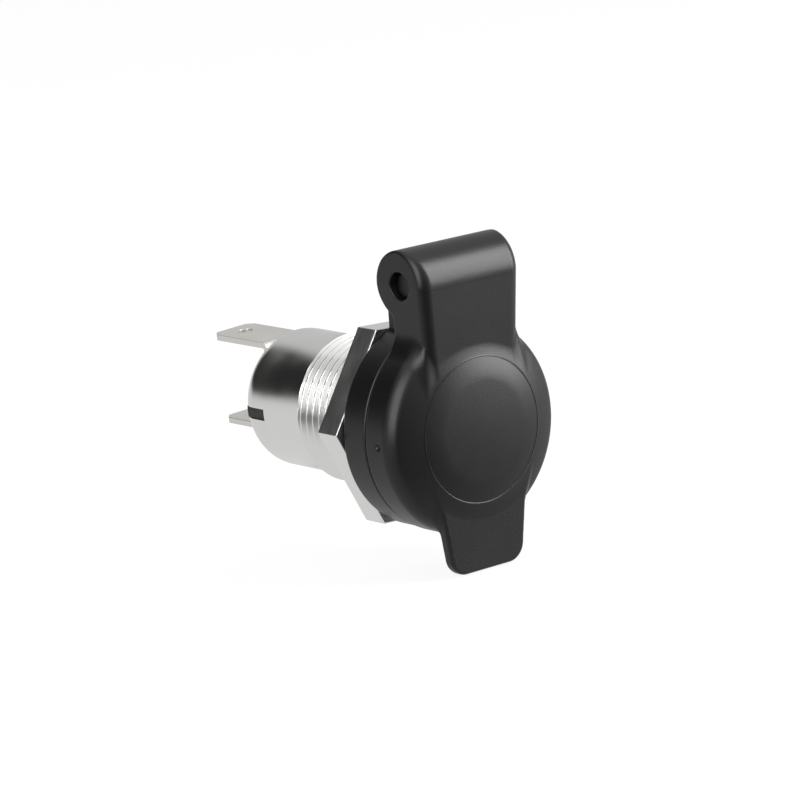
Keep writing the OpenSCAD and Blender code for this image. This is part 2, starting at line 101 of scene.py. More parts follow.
# The body is one turned piece of plated metal: lip and flange at the front, a fine thread,
# then a plain barrel with a rounded rear edge. Its bore takes the plug, and a wider chamber
# behind it holds the contact. Two slots through the barrel key the insulator.
THREAD_R, THREAD_PITCH, THREAD_DEPTH = 9.5, 1.2, 0.52
THREAD_START, THREAD_SEEN, THREAD_END, THREAD_RUNOUT = -2, 3.4, 13.2, 0.7
CREST_FLAT, FLANK = 0.14, 0.78
HIDDEN_ROWS, SEEN_ROWS = 12, 36
BARREL_R, BODY_LEN, REAR_ROUND, REAR_WALL = 8.8, 26.1, 3, 1.4
BORE_R, BORE_LEN, CHAMBER_R, SPIGOT_R = 6.05, 9.3, 6.4, 2.95
LIP_R, MOUTH_Y, FLANGE_R, FLANGE_FRONT = 7.4, -4.2, 11.3, -3.2
SLOT_H, SLOT_Y, BARREL_ROWS = 1.5, 21, (20.8, 21.2)
BODY_TURN = math.radians(3)
TURN_STEPS = 192
EDGE, MOUTH_EDGE = 0.12, 0.4
floor_y = BODY_LEN - REAR_WALL


def shade_smooth(mesh, sharp=35):
    """Turns the faces outwards and shades them smooth, with sharp edges where two faces meet
    at more than the given angle in degrees."""
    work = bmesh.new()
    work.from_mesh(mesh)
    if work.calc_volume(signed=True) < 0:
        bmesh.ops.reverse_faces(work, faces=work.faces)
    for face in work.faces:
        face.smooth = True
    for edge in work.edges:
        edge.smooth = (len(edge.link_faces) == 2
                       and edge.calc_face_angle(0) < math.radians(sharp))
    work.to_mesh(mesh)
    work.free()


def mesh_object(name, points, faces, sharp=35):
    """New object from points in millimetres and faces, shaded as above."""
    mesh = bpy.data.meshes.new(name)
    mesh.from_pydata((np.asarray(points) * MM).tolist(), [], faces)
    shade_smooth(mesh, sharp)
    piece = bpy.data.objects.new(name, mesh)
    bpy.context.scene.collection.objects.link(piece)
    return piece


def grid_faces(rows, columns, ring_rows=True, ring_columns=True):
    """Quads over a grid of points numbered row by row, closed on itself where asked."""
    row = np.arange(rows if ring_rows else rows - 1)[:, None]
    column = np.arange(columns if ring_columns else columns - 1)[None, :]
    row_next, column_next = (row + 1) % rows, (column + 1) % columns
    return np.stack([
        row * columns + column, row * columns + column_next,
        row_next * columns + column_next, row_next * columns + column,
    ], -1).reshape(-1, 4).tolist()


def revolved(radius, height, angle):
    """Points at the given radius and height along Y, turned by angle about the Y axis:
    (radius cos angle, height, radius sin angle)."""
    return np.stack([radius * np.cos(angle), height + 0 * angle, radius * np.sin(angle)], -1)


def arc_points(centre, radius, start, end, steps):
    """Points of an arc round centre, from the start angle to the end angle in degrees."""
    angle = np.radians(np.linspace(start, end, steps + 1))
    return [(centre[0] + radius * math.cos(a), centre[1] + radius * math.sin(a)) for a in angle]


def thread_radius(height, angle, slack=0):
    """Radius of the thread, which climbs one pitch a turn: a straight flank from 0 at a crest
    to 1 at the root between two, with a narrow flat on each. The flat of the crest and the
    flank are shares of half a pitch."""
    phase = (height / THREAD_PITCH - angle / (2 * math.pi)) % 1
    wave = np.clip((1 - 2 * np.abs(phase - 0.5) - CREST_FLAT) / FLANK, 0, 1)
    return THREAD_R + slack - THREAD_DEPTH * wave


def turned_body():
    """Closed profile carried round the axis. In the thread's rows the radius also depends on
    the angle, and past its end it falls to the barrel at a steady slope. The rows are finer
    where the thread isn't hidden by the nut."""
    front = [
        (BORE_R, MOUTH_Y + MOUTH_EDGE), (BORE_R + MOUTH_EDGE, MOUTH_Y),
        (LIP_R - 2 * EDGE, MOUTH_Y),
        (LIP_R, MOUTH_Y + 2 * EDGE), (LIP_R, FLANGE_FRONT), (FLANGE_R - EDGE, FLANGE_FRONT),
        (FLANGE_R, FLANGE_FRONT + EDGE), (FLANGE_R, THREAD_START),
    ]
    thread_y = np.concatenate([
        np.arange(THREAD_START, THREAD_SEEN, THREAD_PITCH / HIDDEN_ROWS),
        np.arange(THREAD_SEEN, THREAD_END + THREAD_RUNOUT, THREAD_PITCH / SEEN_ROWS)])
    rear = [(BARREL_R, THREAD_END + THREAD_RUNOUT + 0.1)]
    rear += [(BARREL_R, y) for y in BARREL_ROWS]
    rear += arc_points((BARREL_R - REAR_ROUND, BODY_LEN - REAR_ROUND), REAR_ROUND, 0, 90, 16)
    rear += [
        (SPIGOT_R, BODY_LEN), (SPIGOT_R, floor_y), (CHAMBER_R, floor_y),
        (CHAMBER_R, BORE_LEN), (BORE_R, BORE_LEN),
    ]
    height = np.concatenate([[y for _, y in front], thread_y, [y for _, y in rear]])
    angle = np.linspace(0, 2 * math.pi, TURN_STEPS, endpoint=False)[None, :]
    radius = np.empty((len(height), TURN_STEPS))
    radius[:len(front)] = np.array([r for r, _ in front])[:, None]
    fall = THREAD_R - (thread_y - THREAD_END)[:, None] * (THREAD_R - BARREL_R) / THREAD_RUNOUT
    cut = np.minimum(thread_radius(thread_y[:, None], angle), fall)
    radius[len(front):-len(rear)] = np.maximum(cut, BARREL_R)
    radius[-len(rear):] = np.array([r for r, _ in rear])[:, None]
    points = revolved(radius, height[:, None], angle)
    return points.reshape(-1, 3), grid_faces(len(height), TURN_STEPS)


def box_corners(low, high):
    """Corners of a box, with Z running fastest and X slowest, and its six faces."""
    corners = [(x, y, z) for x in (low[0], high[0]) for y in (low[1], high[1])
               for z in (low[2], high[2])]
    return corners, [(0, 1, 3, 2), (4, 6, 7, 5), (0, 4, 5, 1),
                     (2, 3, 7, 6), (0, 2, 6, 4), (1, 5, 7, 3)]


def turned_about_axis(points, turn=BODY_TURN):
    """The body and what is fixed in it sit turned by a few degrees: the -X side goes down."""
    x, y, z = np.asarray(points, float).T
    return np.stack([x * math.cos(turn) - z * math.sin(turn), y,
                     x * math.sin(turn) + z * math.cos(turn)], -1)


def cut_away(piece, cutter):
    """Takes the cutter's volume out of the piece for good and removes the cutter."""
    work = piece.modifiers.new("cut", "BOOLEAN")
    work.operation, work.solver, work.object = "DIFFERENCE", "EXACT", cutter
    depsgraph = bpy.context.evaluated_depsgraph_get()
    mesh = bpy.data.meshes.new_from_object(piece.evaluated_get(depsgraph))
    piece.modifiers.clear()
    shade_smooth(mesh)
    piece.data = mesh
    bpy.data.objects.remove(cutter)


def surface_finish(name, colour, metallic, roughness, grain, depth, mottle=0.06):
    """Principled material whose roughness and colour vary in soft patches, with a fine bump.
    grain is the size of the bump's pattern along X, Y and Z in millimetres, depth its height
    and mottle how much the roughness varies either way. The darker patches are 7% darker."""
    material = bpy.data.materials.new(name)
    material.use_nodes = True
    tree = material.node_tree
    nodes, links = tree.nodes, tree.links
    shader = nodes["Principled BSDF"]
    shader.inputs["Metallic"].default_value = metallic
    place = nodes.new("ShaderNodeTexCoord")
    fine_map, fine = nodes.new("ShaderNodeMapping"), nodes.new("ShaderNodeTexNoise")
    fine_map.inputs["Scale"].default_value = [1 / (size * MM) for size in grain]
    fine.inputs["Scale"].default_value = 1
    fine.inputs["Detail"].default_value = 3
    patches = nodes.new("ShaderNodeTexNoise")
    patches.inputs["Scale"].default_value = 1 / (4 * MM)
    patches.inputs["Detail"].default_value = 2
    spread = nodes.new("ShaderNodeMapRange")
    spread.inputs["To Min"].default_value = roughness - mottle
    spread.inputs["To Max"].default_value = roughness + mottle
    tint = nodes.new("ShaderNodeValToRGB")
    tint.color_ramp.elements[0].color = (*[c * 0.93 for c in colour], 1)
    tint.color_ramp.elements[1].color = (*colour, 1)
    bump = nodes.new("ShaderNodeBump")
    bump.inputs["Distance"].default_value = depth * MM
    bump.inputs["Strength"].default_value = 1
    links.new(place.outputs["Object"], fine_map.inputs["Vector"])
    links.new(fine_map.outputs["Vector"], fine.inputs["Vector"])
    links.new(place.outputs["Object"], patches.inputs["Vector"])
    links.new(patches.outputs["Fac"], spread.inputs["Value"])
    links.new(patches.outputs["Fac"], tint.inputs["Fac"])
    links.new(spread.outputs["Result"], shader.inputs["Roughness"])
    links.new(tint.outputs["Color"], shader.inputs["Base Color"])
    links.new(fine.outputs["Fac"], bump.inputs["Height"])
    links.new(bump.outputs["Normal"], shader.inputs["Normal"])
    return material


def dress(piece, material, slot, body, *nodes):
    """Gives the piece its material, puts it on its body, and hides the CAD nodes. The slot is
    not used.
    """
    piece.data.materials.clear()
    piece.data.materials.append(material)
    if nodes:
        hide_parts(*nodes)
    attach(piece, body)


NICKEL = surface_finish("satin_nickel", (0.78, 0.775, 0.76), 1, 0.23, (30, 0.12, 30), 0.0015)
body_points, body_faces = turned_body()
shell = mesh_object("turned_body", turned_about_axis(body_points), body_faces)
slot_points, slot_faces = box_corners(
    (-BARREL_R - 1, SLOT_Y, -SLOT_H / 2), (BARREL_R + 1, floor_y, SLOT_H / 2))
cut_away(shell, mesh_object("slot_cutter", turned_about_axis(slot_points), slot_faces))
dress(shell, NICKEL, "nickel_plate", "socket", "shell")


# A phenolic block fills the bottom of the bore, and its lugs lie in the two slots. A brass
# contact stands on it, held by a rivet that also carries the live terminal at the back, over
# a plate of red fibre. The earthed terminal has a small rivet of its own.
PHENOLIC = surface_finish("phenolic", (0.012, 0.011, 0.01), 0, 0.6, (0.5, 0.5, 0.5), 0.02)
BRASS = surface_finish("bright_brass", (0.8, 0.6, 0.3), 1, 0.25, (0.4, 0.4, 0.4), 0.004)
FIBRE = surface_finish("vulcanised_fibre", (0.3, 0.09, 0.06), 0, 0.6, (1.5, 0.3, 0.3), 0.02)
TIN = surface_finish("tin_plate", (0.74, 0.72, 0.68), 1, 0.33, (0.35, 1.6, 0.35), 0.004)


def eased_copy(node, width, segments=2):
    """Copy of a CAD node with its loose triangles joined and flat faces made whole, and a
    bevel of the given width in millimetres along its sharp edges."""
    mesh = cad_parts[node].data.copy()
    work = bmesh.new()
    work.from_mesh(mesh)
    bmesh.ops.remove_doubles(work, verts=work.verts, dist=1e-6)
    bmesh.ops.dissolve_limit(work, angle_limit=math.radians(0.5), verts=work.verts,
                             edges=work.edges)
    work.to_mesh(mesh)
    work.free()
    shade_smooth(mesh)
    mesh.materials.clear()
    piece = bpy.data.objects.new(node + "_eased", mesh)
    bpy.context.scene.collection.objects.link(piece)
    ease = piece.modifiers.new("ease", "BEVEL")
    ease.width, ease.segments = width * MM, segments
    ease.limit_method, ease.angle_limit = "ANGLE", math.radians(35)
    ease.harden_normals = True
    return piece


for node, material, slot, width in (
        ("insulator", PHENOLIC, "phenolic", 0.08),
        ("centre_contact", BRASS, "contact_brass", 0.05),
        ("contact_rivet", BRASS, "contact_brass", 0.08),
        ("earth_rivet", BRASS, "contact_brass", 0.08),
        ("fibre_plate", FIBRE, "fibre", 0.05),
        ("live_terminal", TIN, "tin_plate", 0.1),
        ("earth_terminal", TIN, "tin_plate", 0.1)):
    dress(eased_copy(node, width), material, slot, "socket", node)


# The bracket is moulded in black plastic: a ring round the flange, whose plate the flange
# clamps, and a post that stands on it and leans forward to the knuckle of the hinge.
PLASTIC = surface_finish("black_satin_plastic", (0.004, 0.004, 0.0042), 0, 0.35,
                         (0.2, 0.2, 0.2), 0.014, mottle=0.03)
PLASTIC.node_tree.nodes["Principled BSDF"].inputs["Specular IOR Level"].default_value = 0.36
RING_R, RING_T, PLATE_T, PLATE_HOLE_R, POCKET_R = 13.1, 4.4, 2, 9.6, 11.5
RING_REAR_EDGE, RING_FRONT_EDGE = 0.6, 0.3
PIN_R, PIN_Y, PIN_Z, KNUCKLE_R, KNUCKLE_HALF = 1.6, -6.65, 18.65, 3.1, 5
POST_BACK, POST_BELOW_PIN, POST_ROOT = -0.6, 3.55, 0.4
KNUCKLE_REAR, KNUCKLE_FRONT = math.radians(40), math.radians(70)
POST_FILLET, POST_EDGE, ROOT_FILLET, HOLE_EDGE = 0.3, 0.2, 0.5, 0.12
SPRING_X, WIRE_R, COIL_R, COIL_START = 1.635, 0.3, 2.375, 12
COIL_ROOM, KNUCKLE_GAP, LEG_SLACK, LEG_HOLE_FOOT = 0.25, 0.1, 0.05, 1.7
coil_x = SPRING_X + WIRE_R + KNUCKLE_GAP


def rounded_max(a, b, radius):
    """Both solids at once, with the convex edge between them rounded: inside the last radius
    of both, the distance is measured from a circle that touches the two faces."""
    return (np.minimum(np.maximum(a, b), -radius)
            + np.hypot(np.maximum(a + radius, 0), np.maximum(b + radius, 0)))


def rounded_min(a, b, radius):
    """Either solid, with the hollow corner between them filled by a fillet of that radius."""
    return -rounded_max(-a, -b, radius)


def convex(y, z, corners):
    """Distance to a convex outline in side view: the largest of the distances to its sides.
    The corners go round it with the inside on their left."""
    far = []
    for (y0, z0), (y1, z1) in zip(corners, corners[1:] + corners[:1]):
        length = math.hypot(y1 - y0, z1 - z0)
        far.append(((z1 - z0) * (y - y0) - (y1 - y0) * (z - z0)) / length)
    return np.maximum.reduce(far)


def bracket_field(x, y, z):
    """Distance to the bracket's surface, negative inside: a ring with a stepped hole, joined
    by a fillet to a post and a knuckle, with the pin's hole through the knuckle. The post and
    the web under the knuckle stop below the spring's coil on one side, and a curved hole in
    the post holds the spring's fixed leg."""
    r = np.hypot(x, z)
    ring = rounded_max(rounded_max(r - RING_R, y, RING_REAR_EDGE), -RING_T - y, RING_FRONT_EDGE)
    rear_foot = (PIN_Y + KNUCKLE_R * math.cos(KNUCKLE_REAR),
                 PIN_Z - KNUCKLE_R * math.sin(KNUCKLE_REAR))
    front_foot = (PIN_Y - KNUCKLE_R * math.cos(KNUCKLE_FRONT),
                  PIN_Z - KNUCKLE_R * math.sin(KNUCKLE_FRONT))
    throat = (-RING_T, PIN_Z - KNUCKLE_R - POST_ROOT)
    post = convex(y, z, [
        (-RING_T, POCKET_R + POST_ROOT), (POST_BACK, POCKET_R + POST_ROOT),
        (POST_BACK, PIN_Z - POST_BELOW_PIN), rear_foot, throat,
    ])
    web = convex(y, z, [(PIN_Y, PIN_Z), front_foot, throat, rear_foot])
    upright = rounded_min(post, web, POST_FILLET)
    low_stand = np.maximum(upright, z - (PIN_Z - COIL_R - WIRE_R - COIL_ROOM))
    knuckle = np.minimum(upright, np.hypot(y - PIN_Y, z - PIN_Z) - KNUCKLE_R)
    stand = np.minimum(
        rounded_max(low_stand, np.abs(x) - KNUCKLE_HALF, POST_EDGE),
        rounded_max(knuckle, np.maximum(-KNUCKLE_HALF - x, x - SPRING_X), POST_EDGE))
    solid = rounded_min(ring, stand, ROOT_FILLET)
    hole = np.minimum(r - PLATE_HOLE_R, np.maximum(r - POCKET_R, y + PLATE_T))
    pin_hole = np.hypot(y - PIN_Y, z - PIN_Z) - PIN_R
    lean = math.radians(COIL_START)
    from_leg = np.hypot(x - coil_x, (y - PIN_Y) * math.cos(lean)
                        + (z - PIN_Z) * math.sin(lean) - COIL_R)
    leg_hole = np.maximum(from_leg - WIRE_R - LEG_SLACK, z - PIN_Z)
    leg_hole = np.maximum(leg_hole, POCKET_R + LEG_HOLE_FOOT - z)
    return rounded_max(solid, -np.minimum(np.minimum(hole, pin_hole), leg_hole), HOLE_EDGE)


def skin(name, field, low, high, step):
    """Object whose surface lies where the field is zero. Each cell of a grid that the surface
    crosses gets one point, at the mean of the crossings on its edges, and each crossed edge
    of the grid gets a quad between its four cells. The points then slide onto the surface
    along the field's slope, and their normals are that slope."""
    axes = [np.arange(a, b + step, step) for a, b in zip(low, high)]
    value = np.zeros([len(a) for a in axes])
    value += field(*np.meshgrid(*axes, indexing="ij", sparse=True))
    inside = value < 0
    cells = np.array(value.shape) - 1
    total, count = np.zeros((*cells, 3)), np.zeros(cells)
    crossings = []
    for axis in range(3):
        span = [slice(None)] * 3
        span[axis] = slice(0, -1)
        start = value[tuple(span)]
        start_in = inside[tuple(span)]
        span[axis] = slice(1, None)
        end = value[tuple(span)]
        crossed = start_in != inside[tuple(span)]
        share = np.where(crossed, start / np.where(crossed, start - end, 1), 0)
        crossings.append((crossed, start_in))
        others = [a for a in range(3) if a != axis]
        for first in (0, 1):
            for second in (0, 1):
                pick = [slice(None)] * 3
                pick[others[0]] = slice(first, first + cells[others[0]])
                pick[others[1]] = slice(second, second + cells[others[1]])
                hit = crossed[tuple(pick)]
                count += hit
                total[..., axis] += share[tuple(pick)]
                total[..., others[0]] += first * hit
                total[..., others[1]] += second * hit
    active = count > 0
    number = np.full(cells, -1)
    number[active] = np.arange(active.sum())
    points = (np.argwhere(active) + total[active] / count[active][:, None]) * step
    points += np.array([a[0] for a in axes])
    faces = []
    for axis, (crossed, start_in) in enumerate(crossings):
        others = [a for a in range(3) if a != axis]
        edge = np.argwhere(crossed)
        keep = np.all(edge[:, others] > 0, 1) & np.all(edge[:, others] < cells[others], 1)
        edge, flip = edge[keep], start_in[crossed][keep]
        ring = []
        for first, second in ((0, 0), (1, 0), (1, 1), (0, 1)):
            cell = edge.copy()
            cell[:, others[0]] -= first
            cell[:, others[1]] -= second
            ring.append(number[tuple(cell.T)])
        quads = np.stack(ring, -1)
        flip = flip if axis == 1 else ~flip
        faces.append(np.where(flip[:, None], quads, quads[:, ::-1]))
    reach, passes, least_steep = 0.01, 4, 0.2
    for _ in range(passes):
        here = field(*points.T)
        slope = np.stack([
            field(*(points + reach * side).T) - field(*(points - reach * side).T)
            for side in np.eye(3)
        ], -1) / (2 * reach)
        steep = np.maximum((slope ** 2).sum(-1), least_steep)
        move = np.clip(-here / steep, -0.5 * step, 0.5 * step)
        points += move[:, None] * slope
    piece = mesh_object(name, points, np.concatenate(faces).tolist(), sharp=180)
    normals = slope / np.linalg.norm(slope, axis=1)[:, None]
    piece.data.normals_split_custom_set_from_vertices(normals.tolist())
    return piece


bracket = skin("moulded_bracket", bracket_field, (-13.8, -10.2, -13.8), (13.8, 0.4, 22.4), 0.25)
dress(bracket, PLASTIC, "black_plastic", "socket", "bracket")


# The nut is cut from bright hexagonal bar and tightened against the bracket's ring. Its
# edges are broken only a little, so its front edges show as thin bright lines.
NUT_HALF, NUT_T, NUT_EDGE, NUT_CHAMFER = 12.1, 3.6, 0.15, 0.3
NUT_TURN = math.radians(2.5)
NUT_SIDE_STEPS, NUT_ROWS, NUT_SLACK = 36, 16, 0.03
BAR = surface_finish("bright_bar", (0.8, 0.8, 0.79), 1, 0.3, (3, 0.35, 3), 0.05, mottle=0.08)


def hexagon(half, angle, rounding=0.002):
    """Distance from the middle to a hexagon's side at an angle, with its corners rounded a
    little: the soft maximum of the six sides' directions."""
    sides = np.cos(angle[None, :] - np.arange(6)[:, None] * math.pi / 3)
    peak = sides.max(0)
    soft = peak + rounding * np.log(np.exp((sides - peak) / rounding).sum(0))
    return half / soft


def nut_surface():
    """Rings from the bore's front edge outwards over the front, down the six sides, back in
    over the rear, and along the threaded bore, closed on itself."""
    side = np.sin(np.linspace(-math.pi / 2, math.pi / 2, NUT_SIDE_STEPS, endpoint=False))
    angle = (np.arange(6)[:, None] * math.pi / 3 + side[None, :] * math.pi / 6).ravel()
    bore = THREAD_R + NUT_SLACK
    rings = [(bore + NUT_CHAMFER + 0 * angle, 0)]
    turn = np.radians([0, 30, 60, 90])
    for a in turn:
        rings.append((hexagon(NUT_HALF - NUT_EDGE * (1 - math.sin(a)), angle),
                      NUT_EDGE * (1 - math.cos(a))))
    for a in turn[::-1]:
        rings.append((hexagon(NUT_HALF - NUT_EDGE * (1 - math.sin(a)), angle),
                      NUT_T - NUT_EDGE * (1 - math.cos(a))))
    rings.append((bore + NUT_CHAMFER + 0 * angle, NUT_T))
    for y in np.arange(NUT_T, 0, -THREAD_PITCH / NUT_ROWS):
        grooved = thread_radius(y, angle - NUT_TURN, slack=NUT_SLACK)
        flare = bore + NUT_CHAMFER - min(y, NUT_T - y)
        rings.append((np.maximum(grooved, flare), y))
    points = np.stack([
        np.stack([r * np.cos(angle), y + 0 * angle, r * np.sin(angle)], -1) for r, y in rings])
    return points.reshape(-1, 3), grid_faces(len(rings), len(angle))


nut_points, nut_faces = nut_surface()
nut_points = turned_about_axis(nut_points, math.pi / 6 - NUT_TURN)
nut = mesh_object("hexagon_nut", nut_points, nut_faces, sharp=12)
dress(nut, BAR, "nut_metal", "socket", "hex_nut")


# A steel pin is pressed into the knuckle. The closing spring is wound round it from round
# wire: one leg stands in the post, and the other leans on the hood of the lid.
# The pin's steel is made near black. Partly this is the pin's own dark tone, and partly it is
# painted shade for the deep hole its end sits in.
SHADED_PIN_STEEL = surface_finish("dark_steel_and_painted_shade", (0.05, 0.05, 0.052), 1, 0.45, (0.3, 0.3, 0.3), 0.004)
WIRE_STEEL = surface_finish("drawn_wire", (0.56, 0.56, 0.57), 1, 0.28, (0.2, 0.6, 0.2), 0.003)
COIL_TURNS, TURN_GAP, FREE_ANGLE = 4, 0.05, 15
FIXED_LEG, FREE_LEG, LEG_START = 5.6, 3.1, 0.1
coil_pitch = 2 * WIRE_R + TURN_GAP
dress(eased_copy("hinge_pin", 0.05), SHADED_PIN_STEEL, "pin_steel", "socket", "hinge_pin")


def spring_path():
    """Up the fixed leg, round the coil as a helix along X, and out along the free leg."""
    angle = np.radians(np.linspace(COIL_START, 360 * COIL_TURNS + FREE_ANGLE, 40 * COIL_TURNS))
    coil = np.stack([
        coil_x + coil_pitch * (angle - angle[0]) / (2 * math.pi),
        PIN_Y + COIL_R * np.cos(angle), PIN_Z + COIL_R * np.sin(angle)], -1)
    ahead = np.stack([0 * angle, -np.sin(angle), np.cos(angle)], -1)
    fixed = coil[0] - ahead[0] * np.linspace(FIXED_LEG, LEG_START, 12)[:, None]
    free = coil[-1] + ahead[-1] * np.linspace(LEG_START, FREE_LEG, 8)[:, None]
    return np.concatenate([fixed, coil, free])


def wire(path, radius, sides=14):
    """Round tube along a path: at each point, a circle square to the path's direction."""
    ahead = np.gradient(path, axis=0)
    ahead /= np.linalg.norm(ahead, axis=1)[:, None]
    across = np.array([1, 0, 0]) - ahead[:, :1] * ahead
    across /= np.linalg.norm(across, axis=1)[:, None]
    third = np.cross(ahead, across)
    angle = np.linspace(0, 2 * math.pi, sides, endpoint=False)[None, :, None]
    circle = across[:, None] * np.cos(angle) + third[:, None] * np.sin(angle)
    points = (path[:, None] + radius * circle).reshape(-1, 3)
    ends = [list(range(sides)), list(range(len(points) - sides, len(points)))[::-1]]
    faces = grid_faces(len(path), sides, ring_rows=False) + ends
    return points, faces


wire_points, wire_faces = wire(spring_path(), WIRE_R)
spring = mesh_object("closing_spring", wire_points, wire_faces)
spring.data.materials.append(WIRE_STEEL)
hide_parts("torsion_spring")
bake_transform(spring)


# The lid is one moulding in the same black plastic: a shallow cap with a slightly domed
# front, a drafted arm that ends in the hinge barrel, and a finger tab. Small fillets join
# the arm and the tab to the cap, and the mould's insert left a fine bead round the dome.
LID_R, RIM_Y, FRONT_Y, DISC_R, CAP_WALL, CAP_FRONT = 13.25, -4.6, -11.15, 9, 1.5, 1.8
DISC_CROWN, SLOPE_Y, FACE_BLEND = 0.5, -11.4, 1.3
FACE_SLOPE = math.radians(27)
SHOULDER_R, RIM_EDGE = 2.4, 0.3
NECK_R, TAB_NECK_R, FRONT_FILLET = 1.8, 1, 0.4
HOOD_R, HOOD_WALL, HINGE_HALF, HOOD_END = 4.35, 1, 7.85, math.radians(75)
ARM_DRAFT, ARM_LEAN = math.radians(4), math.radians(2.5)
ARM_FRONT_R, ARM_BACK_R, ARM_REAR_EDGE, ARM_WALL, ARM_FOOT = 1.5, 0.3, 0.1, 1.8, 4
POCKET_HALF, HOLE_R = 5.2, 1.68
TAB_FRONT, TAB_T, TAB_HALF, TAB_DRAFT = -10.45, 1.5, 6.25, math.radians(8.5)
TAB_TOP, TAB_RAISED, TAB_FOOT, TAB_CORNER_R, TAB_EDGE_R = -6, 0.5, -17.5, 2, 0.4
SEAL_BACK, SEAL_IN_R, SEAL_OUT_R, SEAL_SLACK = -5.9, 5.6, 8.8, 0.05
HOLDER_WALL, HOLDER_LEDGE, HOLDER_DEPTH, HOLDER_EDGE = 1, 0.6, 0.9, 0.12
HOLLOW_R, POCKET_EDGE = 0.4, 0.15
DIMPLE_R, DIMPLE_X, DIMPLE_Y, DIMPLE_EDGE = 0.55, 0.3, -7, 0.1


def smooth_step(value):
    """0 below 0, 1 above 1, and a smooth climb between them."""
    t = np.clip(value, 0, 1)
    return t * t * (3 - 2 * t)


def face_field(r, y):
    """Front of the cap: a dome, part of a sphere whose radius follows from its height and the
    disc's radius, blended into the slope round it."""
    dome_r = (DISC_R ** 2 + DISC_CROWN ** 2) / 2 / DISC_CROWN
    dome = np.hypot(r, y - (FRONT_Y - DISC_CROWN + dome_r)) - dome_r
    slope = (r - DISC_R) * math.sin(FACE_SLOPE) - (y - SLOPE_Y) * math.cos(FACE_SLOPE)
    return rounded_max(dome, slope, FACE_BLEND)


def cap_field(r, y):
    """Outside of the cap: its face, rounded shoulder, side wall and rim."""
    shoulder = SHOULDER_R * math.tan(math.pi / 4 - FACE_SLOPE / 2) * math.cos(FACE_SLOPE)
    return rounded_max(rounded_max(face_field(r, y), r - LID_R, shoulder), y - RIM_Y, RIM_EDGE)


def arm_field(x, y, z):
    """Arm and barrel, and how far a point lies towards the arm's sides rather than its front.
    The side view is a bar under the pin and a circle round it; the two ends are drafted."""
    front = (PIN_Y - HOOD_R + np.maximum(PIN_Z - z, 0) * math.tan(ARM_LEAN)) - y
    bar = np.maximum(rounded_max(front, y - RIM_Y, ARM_REAR_EDGE),
                     np.maximum(z - PIN_Z, ARM_FOOT - z))
    side_view = np.minimum(bar, np.hypot(y - PIN_Y, z - PIN_Z) - HOOD_R)
    half = HINGE_HALF - np.maximum(PIN_Z - z, 0) * math.tan(ARM_DRAFT)
    ends = (np.abs(x) - half) * math.cos(ARM_DRAFT)
    edge = ARM_BACK_R + (ARM_FRONT_R - ARM_BACK_R) * np.clip((PIN_Y - y) / HOOD_R, 0, 1)
    return rounded_max(side_view, ends, edge), ends - front


def tab_field(x, y, z):
    """Finger tab with tapered sides and rounded lower corners, and how far a point lies
    towards its sides rather than its front."""
    half = TAB_HALF + (z + LID_R - TAB_RAISED) * math.tan(TAB_DRAFT)
    sides = (np.abs(x) - half) * math.cos(TAB_DRAFT)
    outline = rounded_max(sides, TAB_FOOT - z, TAB_CORNER_R)
    outline = np.maximum(outline, z - TAB_TOP)
    faces = np.maximum(TAB_FRONT - y, y - TAB_FRONT - TAB_T)
    return rounded_max(outline, faces, TAB_EDGE_R), sides - (TAB_FRONT - y)


def side_fillet(cap, bar, share, radius):
    """Joins the bar to the cap with a fillet of the given radius along the bar's sides, which
    fades to a small one on its front."""
    along_sides = smooth_step(0.5 + share / radius)
    return rounded_min(cap, bar, FRONT_FILLET + (radius - FRONT_FILLET) * along_sides)


def lid_field(x, y, z):
    """Distance to the lid's surface, negative inside: cap, arm and tab with their fillets,
    less the hollow cap round the seal's holder, the hinge pocket, the pin's hole and the
    small dimple in the side wall."""
    r = np.hypot(x, z)
    arm, arm_share = arm_field(x, y, z)
    tab, tab_share = tab_field(x, y, z)
    solid = side_fillet(cap_field(r, y), arm, arm_share, NECK_R)
    solid = side_fillet(solid, tab, tab_share, TAB_NECK_R)
    flat_y = FRONT_Y + CAP_FRONT
    flat_r = (DISC_R - CAP_WALL * math.sin(FACE_SLOPE)
              + (CAP_FRONT - CAP_WALL * math.cos(FACE_SLOPE)) / math.tan(FACE_SLOPE))
    slope = (r - flat_r) * math.sin(FACE_SLOPE) - (y - flat_y) * math.cos(FACE_SLOPE)
    hollow = rounded_max(np.maximum(flat_y - y, slope), r - (LID_R - CAP_WALL), HOLLOW_R)
    holder = np.maximum(r - SEAL_OUT_R - HOLDER_WALL, np.minimum(
        np.maximum(SEAL_IN_R - HOLDER_LEDGE - r, y - SEAL_BACK),
        np.maximum(SEAL_OUT_R + SEAL_SLACK - r, y - SEAL_BACK - HOLDER_DEPTH)))
    hollow = rounded_max(hollow, -holder, HOLDER_EDGE)
    from_pin = np.hypot(y - PIN_Y, z - PIN_Z)
    room = np.maximum(np.maximum(PIN_Y - HOOD_R + ARM_WALL - y, LID_R + 0.1 - z), z - PIN_Z)
    behind = np.maximum(
        np.maximum((PIN_Y - y) * math.sin(HOOD_END) + (z - PIN_Z) * math.cos(HOOD_END),
                   PIN_Y - y), PIN_Z - HOOD_R - z)
    pocket = np.minimum(np.minimum(from_pin - HOOD_R + HOOD_WALL, room), behind)
    pocket = rounded_max(pocket, np.abs(x) - POCKET_HALF, POCKET_EDGE)
    solid = rounded_max(solid, -hollow, POCKET_EDGE)
    solid = rounded_max(solid, -pocket, POCKET_EDGE)
    solid = rounded_max(solid, -(from_pin - HOLE_R), HOLE_EDGE)
    dimple = np.sqrt((x + LID_R + DIMPLE_X) ** 2 + (y - DIMPLE_Y) ** 2 + z ** 2) - DIMPLE_R
    return rounded_max(solid, -dimple, DIMPLE_EDGE)


lid = skin("moulded_lid", lid_field, (-13.8, -12.1, -18.1), (13.8, -1.7, 23.6), 0.22)
dress(lid, PLASTIC, "black_plastic", "lid", "lid")


